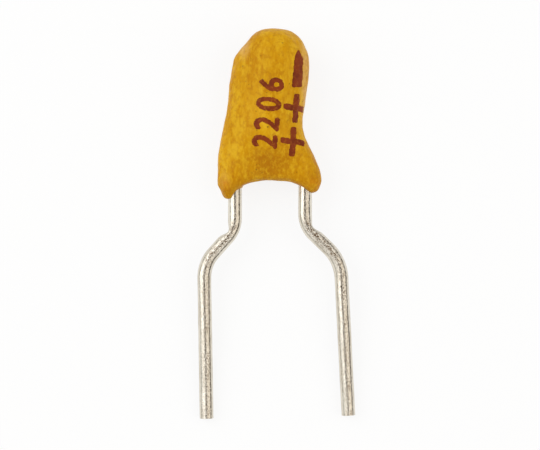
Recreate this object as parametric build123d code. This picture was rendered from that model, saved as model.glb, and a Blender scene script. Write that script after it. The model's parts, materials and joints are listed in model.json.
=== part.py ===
from build123d import *
import os
from math import cos, pi, radians, sin, tan
from typing import NamedTuple

# A dipped tantalum bead capacitor with two formed leads, in millimetres.
#
# The bead is drawn standing up: X across the two leads, Z up from the leads to the crown of the resin, and
# the marked face towards -Y. The lead plane is Y = 0. At the end the whole bead is laid on its back, as a
# loose one comes to rest: on the belly of the resin and on the tips of the leads, with the marked face up.

# ---- formed leads ---------------------------------------------------------------------------------------
LEAD_RADIUS = 0.25
EXIT_X = {"negative": -1.26, "positive": 1.26}  # the leads leave the resin 2.5 mm apart
KINK_TOP = {"negative": -1.27, "positive": -1.15}  # height where the wire turns outwards
KINK_FOOT = {"negative": (-2.37, -2.51), "positive": (2.54, -2.39)}  # X and Z where it turns down again
LEAD_TIP = {"negative": (-2.28, -8.06), "positive": (2.82, -7.95)}  # the cut ends, 5.1 mm apart
KINK_TOP_BEND = 1.05
KINK_FOOT_BEND = {"negative": 1.30, "positive": 1.60}

# ---- anode slug, leaning with the bead ------------------------------------------------------------------
LEAN = 6.0  # degrees from upright, towards the positive side
SLUG_BASE = (0.03, 2.42)  # X and Z of the middle of the face that the riser leaves
SLUG_LENGTH = 2.56
SLUG_RADIUS = 0.69
SLUG_EDGE = 0.08
MANGANESE_DIOXIDE = 0.04  # thickness of each cathode layer
GRAPHITE = 0.03
SILVER = 0.04
LAYERS = MANGANESE_DIOXIDE + GRAPHITE + SILVER
GRAPHITE_START = 0.12  # graphite and silver stop short of the riser's face
SILVER_START = 0.20
RISER_RADIUS = 0.125
RISER_DEPTH = 1.30  # pressed into the slug
RISER_REACH = 1.00  # standing out of it
WASHER_RADIUS = 0.42
WASHER_THICKNESS = 0.16

# ---- how the leads end inside ---------------------------------------------------------------------------
WELD_BITE = 0.05  # the riser is sunk this far into the side of the positive lead
WELD_TOP = -0.38  # end of the positive lead, measured along the slug's axis
WELD_TURN = -1.15  # where it turns away from the riser
POSITIVE_TURN_IN = 0.55  # height where it turns in under the slug
POSITIVE_BEND = 0.35
NEGATIVE_END = 2.12  # end of the negative lead, measured along the slug's axis
NEGATIVE_GAP = 0.02  # solder between the negative lead and the silver
NEGATIVE_BEND = 3.0
SOLDER_SLEEVE = 0.07  # thickness of solder round the negative lead
SOLDER_SPAN = (0.34, 2.20)
SOLDER_WEB = 0.40  # width of the solder between lead and silver

# ---- dipped resin ---------------------------------------------------------------------------------------
CROWN = (0.14, 5.965)  # X and Z of the topmost point
ARCH_CROWN = 0.545  # height of the underside midway between the leads
ARCH_HALF_SPAN = 1.65
ARCH_DROP = {"negative": 0.62, "positive": 0.47}  # the foot round each lead hangs this far below
ARCH_SHOULDER = 1.65  # above 1 the arch stays flat in the middle and falls near the feet
RIM_DROP = 0.42  # the resin's lower rim is rounded over this height
RIM_INSET = 0.28  # and over this width
RIM_ANGLES = (90, 70, 45, 22)  # from the underside round to the flank
RIM_HALF_DEPTH = 0.60
RIDGE_SPAN = 1.1  # half the length of the middle line that the underside is drawn through
RIDGE_STEPS = 3  # points on that line each side of its middle
RING_POINTS = 20


class Ring(NamedTuple):
    """One closed line round the resin: an oval with a fuller right end, drawn in between two lobes."""

    height: float  # at the middle of the bead
    left: float
    right: float
    depth: float  # half depth before the waist is taken off
    fuller: float = 0.0  # how much deeper the right end is, where the slug lies
    waist: float = 0.0  # how far the middle is drawn in between the lead lobes
    follow: float = 0.0  # 0 for a level ring, 1 for one that follows the arched underside


RIM = Ring(ARCH_CROWN + RIM_DROP, -1.885, 1.815, 1.15, 0.0, 0.57, 1.0)
FLANK = (
    Ring(1.20, -1.885, 1.745, 1.12, 0.02, 0.38, 0.60),
    Ring(1.55, -1.875, 1.530, 1.12, 0.06, 0.20, 0.30),
    Ring(1.95, -1.785, 1.290, 1.12, 0.12, 0.06, 0.10),
    Ring(2.50, -1.660, 1.150, 1.14, 0.19),
    Ring(3.20, -1.515, 1.205, 1.17, 0.22),
    Ring(3.85, -1.475, 1.300, 1.18, 0.22),
    Ring(4.65, -1.340, 1.352, 1.17, 0.16),
    Ring(5.15, -1.085, 1.280, 1.10, 0.06),
    Ring(5.58, -0.770, 1.020, 0.88),
    Ring(5.82, -0.470, 0.750, 0.60),
    Ring(5.94, -0.130, 0.410, 0.26),
)


def underside(x):
    """Height of the resin's arched underside at x, low at the foot round each lead."""
    drop = ARCH_DROP["negative" if x < 0 else "positive"]
    share = min(1.0, abs(x) / ARCH_HALF_SPAN) ** ARCH_SHOULDER
    return ARCH_CROWN - drop * (1 - cos(pi * share)) / 2


def ring_wire(ring, inset=0.0):
    """The ring as one smooth closed curve, drawn in by inset."""
    middle = (ring.left + ring.right) / 2
    half = (ring.right - ring.left) / 2 - inset
    flatten = 1 - inset / RIM_HALF_DEPTH
    points = []
    for step in range(RING_POINTS):
        turn = pi / 2 + 2 * pi * step / RING_POINTS  # the seam runs down the bead's back
        x = middle + half * cos(turn)
        y = (ring.depth + ring.fuller * cos(turn) - ring.waist * sin(turn) ** 2) * sin(turn) * flatten
        points.append(Vector(x, y, ring.height + ring.follow * (underside(x) - ARCH_CROWN)))
    # evenly spaced knots on every ring keep the loft through them light
    evenly = [step / RING_POINTS for step in range(RING_POINTS + 1)]
    return Wire([Edge.make_spline(points, periodic=True, parameters=evenly)])


def rim_wire(angle):
    """A ring on the rounded lower rim, from 0 degrees at the flank to 90 on the underside."""
    lowered = RIM._replace(height=RIM.height - RIM_DROP * sin(radians(angle)))
    return ring_wire(lowered, RIM_INSET * (1 - cos(radians(angle))))


def dipped_bead():
    """The outside of the resin: a loft from the rim up to the crown, closed below by the arched underside."""
    wires = [rim_wire(angle) for angle in RIM_ANGLES] + [ring_wire(ring) for ring in FLANK]
    skin = Shell.make_loft([*wires, Vertex(CROWN[0], 0, CROWN[1])])
    steps = range(-RIDGE_STEPS, RIDGE_STEPS + 1)
    ridge = [(x, 0, underside(x)) for x in (RIDGE_SPAN * step / RIDGE_STEPS for step in steps)]
    floor = Face.make_surface([skin.edges().sort_by(Axis.Z)[0]], surface_points=ridge)
    return Solid(Shell(Face.sew_faces([*skin.faces(), floor])[0]))


def along_slug(distance, sideways=0.0):
    """X and Z of a point this far up the leaning slug's axis, and this far to its right."""
    across, up = sin(radians(LEAN)), cos(radians(LEAN))
    x = SLUG_BASE[0] + distance * across + sideways * up
    return x, SLUG_BASE[1] + distance * up - sideways * across


def leaning_rod(radius, start, end, edge=0.0, sideways=0.0):
    """A round rod parallel to the slug's axis from start to end, with its far edge chamfered."""
    rod = Cylinder(radius, end - start, align=(Align.CENTER, Align.CENTER, Align.MIN))
    if edge:
        rod = chamfer(rod.edges().filter_by(GeomType.CIRCLE).sort_by(Axis.Z)[-1], edge)
    x, z = along_slug(start, sideways)
    return Pos(x, 0, z) * Rot(0, LEAN, 0) * rod


def bent_wire(points, bends):
    """A round wire along straight runs in the lead plane, joined by tangent bends."""
    path = FilletPolyline(*[(x, 0, z) for x, z in points], radius=bends)
    return sweep(Plane(path @ 0, z_dir=path % 0) * Circle(LEAD_RADIUS), path=path)


def outside_runs(side):
    """The corners of a lead below the resin, from the outward kink to the cut end."""
    return [(EXIT_X[side], KINK_TOP[side]), KINK_FOOT[side], LEAD_TIP[side]]


def positive_wire():
    """The positive lead: from beside the riser, out under the slug, and down through the kink."""
    beside = RISER_RADIUS + LEAD_RADIUS - WELD_BITE
    inside = [along_slug(WELD_TOP, beside), along_slug(WELD_TURN, beside)]
    inside.append((EXIT_X["positive"], POSITIVE_TURN_IN))
    bends = [POSITIVE_BEND, POSITIVE_BEND, KINK_TOP_BEND, KINK_FOOT_BEND["positive"]]
    return bent_wire(inside + outside_runs("positive"), bends)


def negative_offset():
    """Distance from the slug's axis to the axis of the negative lead."""
    return SLUG_RADIUS + LAYERS + NEGATIVE_GAP + LEAD_RADIUS


def negative_wire():
    """The negative lead: leaning against the silvered slug, then down through the kink."""
    sideways = -negative_offset()
    top_x, top_z = along_slug(NEGATIVE_END, sideways)
    turn_z = top_z - (top_x - EXIT_X["negative"]) / tan(radians(LEAN))
    bends = [NEGATIVE_BEND, KINK_TOP_BEND, KINK_FOOT_BEND["negative"]]
    return bent_wire([(top_x, top_z), (EXIT_X["negative"], turn_z)] + outside_runs("negative"), bends)


def solder_sleeve():
    """Solder round the negative lead, with a web that wets the silver."""
    start, end = SOLDER_SPAN
    offset = negative_offset()
    sleeve = leaning_rod(LEAD_RADIUS + SOLDER_SLEEVE, start, end, SOLDER_SLEEVE, -offset)
    web = Box(offset - SLUG_RADIUS, SOLDER_WEB, end - start - 2 * SOLDER_SLEEVE)
    x, z = along_slug((start + end) / 2, -(offset + SLUG_RADIUS) / 2)
    return sleeve + Pos(x, 0, z) * Rot(0, LEAN, 0) * web


def covered_slug(thickness, start):
    """The slug with a covering of this thickness, from start to past its far end."""
    return leaning_rod(SLUG_RADIUS + thickness, start, SLUG_LENGTH + thickness, SLUG_EDGE + thickness)


def whole_pieces():
    """Every piece as a full solid, from the innermost outwards, before they are cut from one another."""
    return {
        "anode_riser_wire": leaning_rod(RISER_RADIUS, -RISER_REACH, RISER_DEPTH),
        "anode_slug": covered_slug(0, 0),
        "manganese_dioxide_layer": covered_slug(MANGANESE_DIOXIDE, -MANGANESE_DIOXIDE),
        "graphite_layer": covered_slug(MANGANESE_DIOXIDE + GRAPHITE, GRAPHITE_START),
        "silver_layer": covered_slug(LAYERS, SILVER_START),
        "riser_washer": leaning_rod(WASHER_RADIUS, -MANGANESE_DIOXIDE - WASHER_THICKNESS, -MANGANESE_DIOXIDE),
        "positive_lead": positive_wire(),
        "negative_lead": negative_wire(),
        "cathode_solder": solder_sleeve(),
        "resin_coat": dipped_bead(),
    }


def fitted_pieces():
    """Each piece with the ones it surrounds cut out of it, so neighbours meet face to face."""
    fitted = {}
    inner_pieces = []
    for name, piece in whole_pieces().items():
        fitted[name] = piece
        for inner in inner_pieces:
            if piece.bounding_box().overlaps(inner.bounding_box()):
                fitted[name] -= inner
        inner_pieces.append(piece)
    return fitted


def laid_down(shape, tip_down):
    """The shape turned onto its back, marked face up, with the leads tipped down by tip_down degrees."""
    return Rot(-90 + tip_down, 0, 0) * shape


def resting_angle(bead, leads, steepest=12.0, close_enough=0.002):
    """Degrees by which the bead tips towards its leads before the lead tips reach the table."""
    low, high = 0.0, steepest
    while high - low > close_enough:
        middle = (low + high) / 2
        belly = laid_down(bead, middle).bounding_box().min.Z
        tips = max(laid_down(lead, middle).bounding_box().min.Z for lead in leads)
        low, high = (middle, high) if tips > belly else (low, middle)
    return middle


pieces = fitted_pieces()
angle = resting_angle(pieces["resin_coat"], [pieces["positive_lead"], pieces["negative_lead"]])
laid = {name: laid_down(piece, angle) for name, piece in pieces.items()}
whole = Compound(list(laid.values())).bounding_box()
to_origin = Pos(-whole.center().X, -whole.center().Y, -whole.min.Z)

os.makedirs("parts", exist_ok=True)
for name, piece in laid.items():
    export_step(to_origin * piece, f"parts/{name}.step")
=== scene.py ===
import json
import logging
import math
from collections.abc import Callable, Iterable
from dataclasses import dataclass, field
from enum import Enum
from typing import Any

import bmesh
import bpy
import numpy as np
from mathutils import Matrix, Vector


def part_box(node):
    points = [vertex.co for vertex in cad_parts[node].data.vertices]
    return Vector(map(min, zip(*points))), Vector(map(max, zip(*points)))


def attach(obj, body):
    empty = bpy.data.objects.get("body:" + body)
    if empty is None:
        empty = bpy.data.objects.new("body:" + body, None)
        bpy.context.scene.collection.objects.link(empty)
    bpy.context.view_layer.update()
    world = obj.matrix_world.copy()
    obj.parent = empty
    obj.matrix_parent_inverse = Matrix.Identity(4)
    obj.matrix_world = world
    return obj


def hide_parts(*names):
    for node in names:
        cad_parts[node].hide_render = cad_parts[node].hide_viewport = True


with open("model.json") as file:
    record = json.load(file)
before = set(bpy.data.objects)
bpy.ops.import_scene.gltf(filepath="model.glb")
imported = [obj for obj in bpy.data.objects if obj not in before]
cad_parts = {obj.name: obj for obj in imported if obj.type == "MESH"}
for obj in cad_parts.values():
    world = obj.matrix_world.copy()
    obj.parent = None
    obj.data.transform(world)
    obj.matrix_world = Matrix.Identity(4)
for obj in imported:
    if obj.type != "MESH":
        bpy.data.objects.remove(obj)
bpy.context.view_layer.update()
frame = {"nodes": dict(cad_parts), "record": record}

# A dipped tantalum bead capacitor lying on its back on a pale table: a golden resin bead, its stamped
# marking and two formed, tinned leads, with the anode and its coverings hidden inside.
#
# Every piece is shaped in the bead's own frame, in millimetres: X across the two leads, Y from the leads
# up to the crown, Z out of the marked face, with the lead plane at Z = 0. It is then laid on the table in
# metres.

LOG = logging.getLogger("tantalum_bead")
MM = 0.001  # a millimetre in the scene's metres
MERGE = 0.0005  # points nearer to each other than this, in millimetres, are one
SMOOTH_ANGLE = math.radians(40)  # edges sharper than this stay crisp
TOOTH_RANGE = (0.3, 0.7)  # the part of a grain's tooth over which roughness changes

Piece = bpy.types.Object
Material = bpy.types.Material
Node = bpy.types.Node
Socket = bpy.types.NodeSocket
Tree = bpy.types.NodeTree
Colour = tuple[float, float, float, float]
Point = tuple[float, float, float]
Pair = tuple[float, float]


def paint(red: int, green: int, blue: int) -> Colour:
    """Turns a colour as it is mixed on a chart into the linear light that a shader wants.

    Args:
        red: Red, from 0 to 255.
        green: Green, from 0 to 255.
        blue: Blue, from 0 to 255.

    Returns:
        The linear colour with full opacity.
    """

    def linear(value: int) -> float:
        """One channel of the colour."""
        share = value / 255
        return share / 12.92 if share <= 0.04045 else ((share + 0.055) / 1.055) ** 2.4

    return linear(red), linear(green), linear(blue), 1.0


# ---- the bead's own frame -------------------------------------------------------------------------------


@dataclass(frozen=True)
class BeadFrame:
    """Where the bead lies: its own axes and origin, found from the two lead-end mounts of the record.

    Attributes:
        mounts_middle: X and Y, in the bead's own frame, of the point midway between the two mounts.
    """

    mounts_middle: Pair = (0.1875, -5.5122)

    def _mounts(self) -> list[dict[str, Any]]:
        """The mounts of the two lead ends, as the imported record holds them."""
        return [m for m in frame["record"]["mounts"] if m["name"].endswith("_lead_end")]

    def matrix(self) -> Matrix:
        """The turn, scale and shift that lay a piece drawn in millimetres on the table in metres."""
        mounts = self._mounts()
        places = [Vector(m["pos_m"]) for m in mounts]
        downs = [Vector(m["axis"]) for m in mounts]
        down = sum(downs, Vector()) / len(downs)
        tilt = math.atan2(-down.z, -down.y)
        turn = Matrix.Rotation(tilt, 4, "X")
        middle = sum(places, Vector()) / len(places)
        x, y = self.mounts_middle
        origin = middle - turn @ Vector((x, y, 0)) * MM
        return Matrix.Translation(origin) @ turn @ Matrix.Scale(MM, 4)


# ---- hand work ------------------------------------------------------------------------------------------


class Part(Enum):
    """What is picked on an open mesh."""

    POINT = "VERT"
    EDGE = "EDGE"
    FACE = "FACE"


class Give(Enum):
    """How a push dies away on the surface round it."""

    SOFT = "SMOOTH"
    CRISP = "SHARP"


@dataclass(frozen=True)
class Dent:
    """A place where a surface is pushed in or out.

    Attributes:
        spot: Its middle.
        push: How far it goes, along each axis.
        reach: How far round it the surface gives.
    """

    spot: Point
    push: Point
    reach: float


def let_go() -> None:
    """Deselects everything, because an operator acts on all that is selected."""
    if bpy.context.mode != "OBJECT":
        bpy.ops.object.mode_set(mode="OBJECT")
    bpy.ops.object.select_all(action="DESELECT")


def hold(piece: Piece, *others: Piece) -> None:
    """Selects a piece as the active one, and any others along with it.

    Args:
        piece: The piece that operators act on.
        *others: Pieces that are selected with it.
    """
    let_go()
    for one in (piece, *others):
        one.select_set(True)
    bpy.context.view_layer.objects.active = piece


def open_mesh(piece: Piece) -> None:
    """Takes a piece into edit mode with all of it selected."""
    hold(piece)
    bpy.ops.object.mode_set(mode="EDIT")
    bpy.ops.mesh.select_all(action="SELECT")


def close_mesh() -> None:
    """Leaves edit mode."""
    bpy.ops.object.mode_set(mode="OBJECT")


def pick(piece: Piece, wanted: Callable[[Vector], bool], kind: Part = Part.POINT) -> int:
    """Selects the parts of an open mesh whose middle passes a test, and nothing else.

    Args:
        piece: The piece, in edit mode.
        wanted: Says whether a middle passes.
        kind: Whether points, edges or faces are picked.

    Returns:
        How many were selected.
    """
    bpy.ops.mesh.select_all(action="DESELECT")
    bpy.ops.mesh.select_mode(type=kind.value)
    made = bmesh.from_edit_mesh(piece.data)
    found = 0
    for part in {Part.POINT: made.verts, Part.EDGE: made.edges, Part.FACE: made.faces}[kind]:
        if kind is Part.POINT:
            middle = part.co
        else:
            middle = sum((corner.co for corner in part.verts), Vector()) / len(part.verts)
        if wanted(middle):
            part.select = True
            found += 1
    made.select_flush_mode()
    bmesh.update_edit_mesh(piece.data)
    return found


def finish_modifier(piece: Piece, kind: str, **settings: Any) -> None:
    """Adds a modifier to a piece and applies it at once.

    Args:
        piece: The piece.
        kind: Blender's type of modifier.
        **settings: The modifier's own settings.
    """
    hold(piece)
    modifier = piece.modifiers.new(kind.lower(), kind)
    for name, value in settings.items():
        setattr(modifier, name, value)
    bpy.ops.object.modifier_apply(modifier=modifier.name)


def ruffle(
    piece: Piece, name: str, blotch: float, swing: float, finer: int = 2, only: str = ""
) -> None:
    """Pushes a piece's surface in and out by a procedural cloud pattern.

    Args:
        piece: The piece.
        name: The pattern's name.
        blotch: Width of its blotches, in millimetres.
        swing: How far it moves the surface in all, in millimetres.
        finer: How many finer layers the pattern has.
        only: The vertex group that it keeps to, or nothing for the whole piece.
    """
    pattern = bpy.data.textures.new(name, "CLOUDS")
    pattern.noise_scale, pattern.noise_depth = blotch, finer
    finish_modifier(piece, "DISPLACE", texture=pattern, strength=swing, mid_level=0.5, vertex_group=only)


def soothe(piece: Piece, passes: int) -> None:
    """Smooths a piece's surface this many times over."""
    finish_modifier(piece, "SMOOTH", factor=0.5, iterations=passes)


def press(piece: Piece, dents: Iterable[Dent], near: float, give: Give) -> None:
    """Pushes a piece in or out at some places, as a thumb or the edge of a tool would.

    Args:
        piece: The piece, in the bead's own frame.
        dents: The places.
        near: Points nearer to the middle of a place than this take its whole push.
        give: How the push dies away round them.
    """
    open_mesh(piece)
    for dent in dents:
        spot = Vector(dent.spot)
        if pick(piece, lambda co: (co - spot).length < near):
            bpy.ops.transform.translate(
                value=dent.push, use_proportional_edit=True, proportional_edit_falloff=give.value,
                proportional_size=dent.reach, use_proportional_connected=True,
            )
    close_mesh()


def settle_here() -> None:
    """Puts the place, turn and scale of the piece in hand into its mesh."""
    bpy.ops.object.transform_apply(location=True, rotation=True, scale=True)


def settle(piece: Piece, where: Matrix) -> None:
    """Puts a piece's place, turn and scale into its mesh, so its object sits at the origin.

    Args:
        piece: The piece.
        where: The matrix that brings it from the bead's own frame to the table.
    """
    hold(piece)
    piece.matrix_world = where @ piece.matrix_world
    settle_here()


def heal(piece: Piece, gap: float = MERGE) -> None:
    """Merges doubled points of a piece and turns all of its faces outwards.

    Args:
        piece: The piece, in millimetres.
        gap: Points nearer than this are one.
    """
    open_mesh(piece)
    bpy.ops.mesh.remove_doubles(threshold=gap)
    bpy.ops.mesh.select_all(action="SELECT")
    bpy.ops.mesh.normals_make_consistent(inside=False)
    close_mesh()


# ---- shader benches -------------------------------------------------------------------------------------


def spaced(feeds: dict[str, Any]) -> dict[str, Any]:
    """The same values under names with spaces for _, as sockets are named."""
    return {name.replace("_", " "): value for name, value in feeds.items()}


class Bench:
    """Adds and joins the nodes of one material, group or world."""

    def __init__(self, tree: Tree) -> None:
        """Starts with an empty tree."""
        self.tree = tree
        tree.nodes.clear()

    def node(self, kind: str, feeds: dict[Any, Any] | None = None, **settings: Any) -> Node:
        """Adds a node, sets its options and feeds its inputs.

        Args:
            kind: Blender's type name without its leading "ShaderNode".
            feeds: Input name or number, with a value or another node's output.
            **settings: Options of the node itself.

        Returns:
            The new node.
        """
        made = self.tree.nodes.new("ShaderNode" + kind)
        for name, value in settings.items():
            setattr(made, name, value)
        for name, value in (feeds or {}).items():
            if isinstance(value, Socket):
                self.join(value, made, name)
            else:
                made.inputs[name].default_value = value
        return made

    def join(self, value: Socket, node: Node, name: Any) -> None:
        """Joins an output to the input of a node that has this name or number."""
        self.tree.links.new(value, node.inputs[name])

    def math(self, operation: str, *values: Any, clamp: bool = False) -> Socket:
        """The result of one sum on numbers or outputs."""
        made = self.node("Math", dict(enumerate(values)), operation=operation, use_clamp=clamp)
        return made.outputs[0]

    def times(self, first: Any, *others: Any) -> Socket:
        """The product of two or more numbers or outputs."""
        for other in others:
            first = self.math("MULTIPLY", first, other)
        return first

    def vector(self, operation: str, *values: Any) -> Node:
        """A node that does one sum on vectors."""
        return self.node("VectorMath", dict(enumerate(values)), operation=operation)

    def blend(self, share: Any, first: Any, second: Any) -> Socket:
        """Two colours blended by a share, from the first at 0 to the second at 1."""
        return self.node("Mix", {0: share, 6: first, 7: second}, data_type="RGBA").outputs[2]

    def lay(self, colour: Any, tone: Colour, mask: Any, strength: float) -> Socket:
        """A colour with a tone laid over it where a mask is 1, as strongly as asked."""
        return self.blend(self.times(mask, strength), colour, tone)

    def mapped(self, value: Any, low: float, high: float, out: Pair = (0, 1)) -> Socket:
        """A value eased from one range into another and held at its ends."""
        feeds = {"Value": value, "From Min": low, "From Max": high, "To Min": out[0], "To Max": out[1]}
        return self.node("MapRange", feeds, interpolation_type="SMOOTHSTEP").outputs[0]

    def noise(self, vector: Any, scale: Any, detail: float = 2.0, rough: float = 0.5) -> Socket:
        """A plain cloud noise, from 0 to 1, read at a vector."""
        feeds = {"Vector": vector, "Scale": scale, "Detail": detail, "Roughness": rough}
        return self.node("TexNoise", feeds).outputs["Fac"]

    def stretched(self, vector: Socket, scale: Point) -> Socket:
        """A vector scaled along each axis."""
        return self.node("Mapping", {"Vector": vector, "Scale": scale}).outputs[0]

    def millimetres(self, closer: Point = (1, 1, 1)) -> Socket:
        """Object coordinates in millimetres, times how much closer the pattern is along each axis."""
        place = self.node("TexCoord").outputs["Object"]
        return self.stretched(place, tuple(share / MM for share in closer))

    def group(self, tree: Tree, **feeds: Any) -> Node:
        """Places a node group and feeds its inputs by name, with _ for a space."""
        return self.node("Group", spaced(feeds), node_tree=tree)

    def bump(self, height: Any, depth: float) -> Socket:
        """A bumped normal, with the height's full swing this many millimetres deep."""
        return self.node("Bump", {"Height": height, "Distance": depth * MM, "Strength": 1.0}).outputs[0]


def new_group(name: str, takes: dict[str, Any], gives: Iterable[str]) -> tuple[Bench, Any, Node]:
    """Starts a shader node group with named sockets.

    Args:
        name: The group's name.
        takes: Its inputs with their plain values: a number, or a tuple for a vector.
        gives: Names of its outputs, all of them numbers.

    Returns:
        A bench with the group as its tree, what the group is given, and the node that takes its results.
    """
    bench = Bench(bpy.data.node_groups.new(name, "ShaderNodeTree"))
    tree = bench.tree
    for socket, value in takes.items():
        kind = "NodeSocketVector" if isinstance(value, tuple) else "NodeSocketFloat"
        tree.interface.new_socket(socket, in_out="INPUT", socket_type=kind).default_value = value
    for socket in gives:
        tree.interface.new_socket(socket, in_out="OUTPUT", socket_type="NodeSocketFloat")
    return bench, tree.nodes.new("NodeGroupInput").outputs, tree.nodes.new("NodeGroupOutput")


@dataclass(frozen=True)
class Flecks:
    """A scatter of flecks.

    Attributes:
        scale: How close they lie: about this many to the millimetre.
        share: About how much of the surface they cover.
        soft: How soft their edges are.
        strength: How strongly their colour shows.
    """

    scale: float
    share: float
    soft: float
    strength: float


class Effects:
    """The node groups that several finishes share, each built once."""

    def __init__(self) -> None:
        """Builds every group."""
        self.speckle = self._speckle()
        self.grain = self._grain()
        self.patch = self._patch()

    def _speckle(self) -> Tree:
        """Scattered flecks: 1 on a fleck and 0 off it, covering about the share asked for."""
        takes = {"Vector": (0, 0, 0), "Scale": 5.0, "Share": 0.1, "Soft": 0.05}
        bench, given, out = new_group("speckle", takes, ["Mask"])
        cloud = bench.noise(given["Vector"], given["Scale"], 3.0, 0.55)
        edge = bench.node("MapRange", {"Value": given["Share"], "To Min": 0.72, "To Max": 0.36}).outputs[0]
        swing = bench.math("DIVIDE", bench.math("SUBTRACT", cloud, edge), given["Soft"])
        bench.join(bench.math("ADD", swing, 0.5, clamp=True), out, "Mask")
        return bench.tree

    def _grain(self) -> Tree:
        """An uneven skin: a height from broad swells with a fine tooth on them, and a mask of the tooth."""
        takes = {"Vector": (0, 0, 0), "Swell": 2.0, "Tooth": 20.0, "Tooth Share": 0.3}
        bench, given, out = new_group("grain", takes, ["Height", "Tooth"])
        swell = bench.noise(given["Vector"], given["Swell"])
        tooth = bench.noise(given["Vector"], given["Tooth"], 3.0, 0.6)
        rest = bench.math("SUBTRACT", 1.0, given["Tooth Share"])
        height = bench.math("ADD", bench.times(tooth, given["Tooth Share"]), bench.times(swell, rest))
        bench.join(height, out, "Height")
        bench.join(tooth, out, "Tooth")
        return bench.tree

    def _patch(self) -> Tree:
        """A soft round patch about a centre: 1 in its middle, fading to 0 at its edge."""
        takes = {"Vector": (0, 0, 0), "Centre": (0, 0, 0), "Size": (1, 1, 1)}
        bench, given, out = new_group("patch", takes, ["Mask"])
        away = bench.vector("SUBTRACT", given["Vector"], given["Centre"]).outputs[0]
        shares = bench.vector("DIVIDE", away, given["Size"]).outputs[0]
        far = bench.vector("LENGTH", shares).outputs["Value"]
        bench.join(bench.mapped(far, 1.0, 0.0), out, "Mask")
        return bench.tree

    def scatter(self, bench: Bench, place: Socket, flecks: Flecks) -> Socket:
        """The mask of a scatter of flecks, read at a place."""
        feeds = {"Scale": flecks.scale, "Share": flecks.share, "Soft": flecks.soft}
        return bench.group(self.speckle, Vector=place, **feeds).outputs[0]

    def spot(self, bench: Bench, place: Socket, centre: Point, size: Point) -> Socket:
        """The mask of a soft round patch with this centre and half size, read at a place."""
        return bench.group(self.patch, Vector=place, Centre=centre, Size=size).outputs[0]


# ---- finishes -------------------------------------------------------------------------------------------


def bare_material(name: str) -> tuple[Material, Bench]:
    """A material with nothing in it yet, and the bench to build it on."""
    material = bpy.data.materials.new(name)
    material.use_nodes = True
    return material, Bench(material.node_tree)


@dataclass(frozen=True)
class Finish:
    """A material with one principled shader, dressed by the subclass.

    Attributes:
        name: The material's name.
    """

    name: str

    def start(self, **constants: Any) -> tuple[Material, Bench, Node]:
        """A new material with its shader joined to the output.

        Args:
            **constants: Shader inputs that are the same all over, with _ for a space.

        Returns:
            The material, its bench and its shader.
        """
        material, bench = bare_material(self.name)
        shader = bench.node("BsdfPrincipled", spaced(constants))
        bench.node("OutputMaterial", {"Surface": shader.outputs[0]})
        return material, bench, shader

    def make(self, effects: Effects) -> Material:
        """Builds the material from the shared effects."""
        raise NotImplementedError


def roughen(bench: Bench, shader: Node, tooth: Socket, rough: Pair) -> None:
    """Lets the tooth of a grain set a shader's roughness.

    Args:
        bench: The material's bench.
        shader: Its shader.
        tooth: The mask of the tooth.
        rough: Roughness in the hollows of the grain and on its tooth.
    """
    bench.join(bench.mapped(tooth, *TOOTH_RANGE, rough), shader, "Roughness")


@dataclass(frozen=True)
class ToneAndLightPatch:
    """A soft patch of another colour on the marked face of the resin. Some are clouds of the resin's own
    tone, some painted highlights and some painted shade.

    Attributes:
        strength: How strongly the tone shows at its middle.
        tone: The tone.
        middle: X and Y of its middle.
        half: Half its width and height.
        broken: How fine the pattern is that breaks it up.
    """

    strength: float
    tone: Colour
    middle: Pair
    half: Pair
    broken: float


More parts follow.
